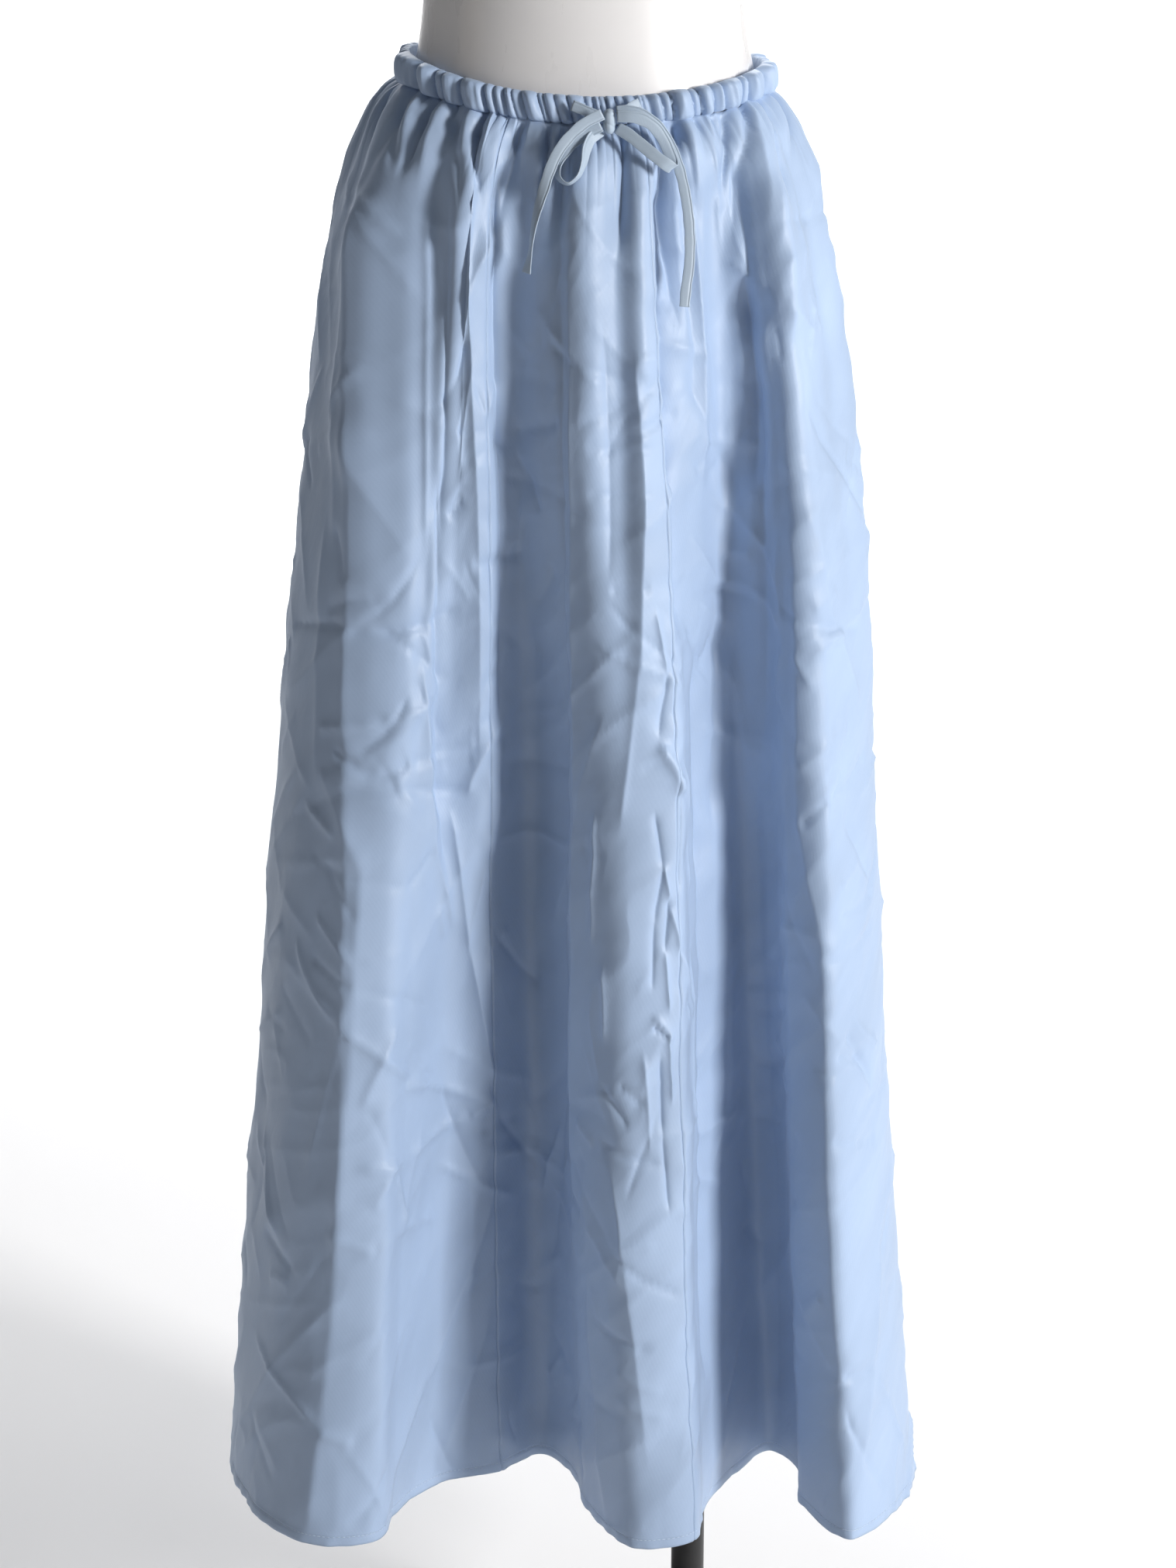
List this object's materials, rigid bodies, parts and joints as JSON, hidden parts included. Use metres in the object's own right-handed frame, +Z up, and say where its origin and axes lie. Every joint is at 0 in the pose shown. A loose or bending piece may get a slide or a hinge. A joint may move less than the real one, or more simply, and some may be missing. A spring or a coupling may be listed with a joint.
{
  "type": "maxi skirt on a dress form",
  "caption": "Long gored skirt with a gathered drawstring waist, hung on a limbless dress form that stands on a pole and a round base.",
  "frame": {"origin": "centre of the round base's underside, on the floor", "axes": "+Z up along the stand, -Y towards the front of the skirt, +X towards the skirt's left side as worn"},
  "size_m": [0.5054, 0.4234, 1.83],
  "materials": {
    "satin": "light blue satin with a soft gloss",
    "tie": "the same satin as a folded flat tie",
    "form": "white, smooth and glossy",
    "stand": "black satin paint"
  },
  "bodies": {
    "root": {"waist_casing": "satin", "gore_front": "satin", "gore_side_front_left": "satin", "gore_side_front_right": "satin", "gore_side_back_left": "satin", "gore_side_back_right": "satin", "gore_back": "satin", "drawstring_knot": "tie", "drawstring_exit_left": "tie", "drawstring_exit_right": "tie", "drawstring_loop_left": "tie", "drawstring_loop_right": "tie", "drawstring_tail_left": "tie", "drawstring_tail_right": "tie", "dress_form": "form", "stand_pole": "stand", "stand_base": "stand"}
  },
  "joints": []
}
